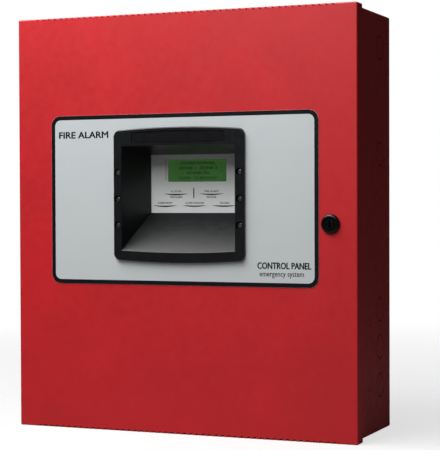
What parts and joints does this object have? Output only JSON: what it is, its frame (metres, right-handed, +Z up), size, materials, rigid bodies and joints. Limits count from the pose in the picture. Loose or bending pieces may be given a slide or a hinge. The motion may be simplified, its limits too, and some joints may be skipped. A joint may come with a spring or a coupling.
{
  "type": "fire alarm control panel",
  "caption": "Wall-mounted fire alarm control panel: red steel box and hinged door with a deep viewing tunnel, keyed lock, display, keypad, circuit board, transformer and batteries.",
  "frame": {"origin": "centre of the backbox rear face, which lies on the wall", "axes": "+X right seen from the front, +Y into the wall, +Z up, so the door faces -Y"},
  "size_m": [0.4319, 0.1384, 0.4892],
  "materials": {
    "red_door": "semi-gloss red powder coat",
    "red_box": "semi-gloss red powder coat",
    "overlay_silver": "printed satin silver film with a black border",
    "bezel_black": "fine satin moulded",
    "lock_black": "gloss",
    "zinc_steel": "zinc plated",
    "black_steel": "blackened",
    "brass": "satin",
    "circuit_board": "satin solder mask",
    "terminal_plastic": "satin",
    "chip_plastic": "matt",
    "relay_plastic": "satin",
    "capacitor_sleeve": "gloss",
    "heatsink_aluminium": "black anodised",
    "fuse_glass": "clear",
    "fascia_silver": "printed satin silver film",
    "lcd_green": "unlit green display glass",
    "lens_smoke": "smoked",
    "lamp_plastic": "diffused",
    "key_grey": "satin",
    "core_steel": "varnished laminations",
    "winding_tape": "yellow polyester tape",
    "battery_case": "moulded, fine texture",
    "wire_sleeve": "pvc insulation",
    "connector_sleeve": "vinyl"
  },
  "bodies": {
    "cabinet": {"backbox": "red_box", "hinge_box_leaves": "red_box", "hinge_pins": "zinc_steel", "mounting_plate": "zinc_steel", "plate_spacers": "zinc_steel", "board_standoffs": "brass", "machine_screws": "zinc_steel", "main_circuit_board": "circuit_board", "terminal_blocks": "terminal_plastic", "terminal_screws": "zinc_steel", "relays": "relay_plastic", "capacitors": "capacitor_sleeve", "heatsink": "heatsink_aluminium", "fuse_holders": "brass", "fuses": "fuse_glass", "integrated_circuits": "chip_plastic", "piezo_sounder": "chip_plastic", "display_fascia": "fascia_silver", "display_board": "circuit_board", "lcd_frame": "black_steel", "lcd_glass": "lcd_green", "indicator_lenses": "lens_smoke", "status_lamps": "lamp_plastic", "tact_switches": "chip_plastic", "transformer_core": "core_steel", "transformer_windings": "winding_tape", "transformer_bracket": "zinc_steel", "transformer_leads": "wire_sleeve", "battery_left": "battery_case", "battery_right": "battery_case", "battery_terminals": "zinc_steel", "spade_connectors": "connector_sleeve", "battery_leads": "wire_sleeve", "battery_bracket": "red_box"},
    "door": {"door_panel": "red_door", "door_overlay": "overlay_silver", "bezel": "bezel_black", "bezel_screws": "black_steel", "lock_housing": "lock_black", "lock_nut": "zinc_steel", "hinge_door_leaves": "red_door"},
    "lock": {"lock_plug": "black_steel", "lock_cam": "zinc_steel", "lock_cam_screw": "zinc_steel"},
    "key_body_1": {"key_1": "key_grey"},
    "key_body_2": {"key_2": "key_grey"},
    "key_body_3": {"key_3": "key_grey"},
    "key_body_acknowledge": {"key_acknowledge": "key_grey"},
    "key_body_4": {"key_4": "key_grey"},
    "key_body_5": {"key_5": "key_grey"},
    "key_body_6": {"key_6": "key_grey"},
    "key_body_silence": {"key_silence": "key_grey"},
    "key_body_7": {"key_7": "key_grey"},
    "key_body_8": {"key_8": "key_grey"},
    "key_body_9": {"key_9": "key_grey"},
    "key_body_drill": {"key_drill": "key_grey"},
    "key_body_star": {"key_star": "key_grey"},
    "key_body_0": {"key_0": "key_grey"},
    "key_body_hash": {"key_hash": "key_grey"},
    "key_body_reset": {"key_reset": "key_grey"}
  },
  "joints": [
    {"name": "door_swing", "type": "hinge", "parent": "cabinet", "child": "door", "pos_m": [-0.2151, -0.1115, 0], "axis": [0, 0, -1], "range_deg": [0, 150]},
    {"name": "lock_turn", "type": "hinge", "parent": "door", "child": "lock", "pos_m": [0.1824, -0.1334, 0], "axis": [0, 1, 0], "range_deg": [0, 90]},
    {"name": "press_1", "type": "slide", "parent": "cabinet", "child": "key_body_1", "axis": [0, 1, 0], "range_m": [0, 0.0008], "stiffness_N_per_m": 250, "springref_m": -0.0004},
    {"name": "press_2", "type": "slide", "parent": "cabinet", "child": "key_body_2", "axis": [0, 1, 0], "range_m": [0, 0.0008], "stiffness_N_per_m": 250, "springref_m": -0.0004},
    {"name": "press_3", "type": "slide", "parent": "cabinet", "child": "key_body_3", "axis": [0, 1, 0], "range_m": [0, 0.0008], "stiffness_N_per_m": 250, "springref_m": -0.0004},
    {"name": "press_acknowledge", "type": "slide", "parent": "cabinet", "child": "key_body_acknowledge", "axis": [0, 1, 0], "range_m": [0, 0.0008], "stiffness_N_per_m": 250, "springref_m": -0.0004},
    {"name": "press_4", "type": "slide", "parent": "cabinet", "child": "key_body_4", "axis": [0, 1, 0], "range_m": [0, 0.0008], "stiffness_N_per_m": 250, "springref_m": -0.0004},
    {"name": "press_5", "type": "slide", "parent": "cabinet", "child": "key_body_5", "axis": [0, 1, 0], "range_m": [0, 0.0008], "stiffness_N_per_m": 250, "springref_m": -0.0004},
    {"name": "press_6", "type": "slide", "parent": "cabinet", "child": "key_body_6", "axis": [0, 1, 0], "range_m": [0, 0.0008], "stiffness_N_per_m": 250, "springref_m": -0.0004},
    {"name": "press_silence", "type": "slide", "parent": "cabinet", "child": "key_body_silence", "axis": [0, 1, 0], "range_m": [0, 0.0008], "stiffness_N_per_m": 250, "springref_m": -0.0004},
    {"name": "press_7", "type": "slide", "parent": "cabinet", "child": "key_body_7", "axis": [0, 1, 0], "range_m": [0, 0.0008], "stiffness_N_per_m": 250, "springref_m": -0.0004},
    {"name": "press_8", "type": "slide", "parent": "cabinet", "child": "key_body_8", "axis": [0, 1, 0], "range_m": [0, 0.0008], "stiffness_N_per_m": 250, "springref_m": -0.0004},
    {"name": "press_9", "type": "slide", "parent": "cabinet", "child": "key_body_9", "axis": [0, 1, 0], "range_m": [0, 0.0008], "stiffness_N_per_m": 250, "springref_m": -0.0004},
    {"name": "press_drill", "type": "slide", "parent": "cabinet", "child": "key_body_drill", "axis": [0, 1, 0], "range_m": [0, 0.0008], "stiffness_N_per_m": 250, "springref_m": -0.0004},
    {"name": "press_star", "type": "slide", "parent": "cabinet", "child": "key_body_star", "axis": [0, 1, 0], "range_m": [0, 0.0008], "stiffness_N_per_m": 250, "springref_m": -0.0004},
    {"name": "press_0", "type": "slide", "parent": "cabinet", "child": "key_body_0", "axis": [0, 1, 0], "range_m": [0, 0.0008], "stiffness_N_per_m": 250, "springref_m": -0.0004},
    {"name": "press_hash", "type": "slide", "parent": "cabinet", "child": "key_body_hash", "axis": [0, 1, 0], "range_m": [0, 0.0008], "stiffness_N_per_m": 250, "springref_m": -0.0004},
    {"name": "press_reset", "type": "slide", "parent": "cabinet", "child": "key_body_reset", "axis": [0, 1, 0], "range_m": [0, 0.0008], "stiffness_N_per_m": 250, "springref_m": -0.0004}
  ]
}
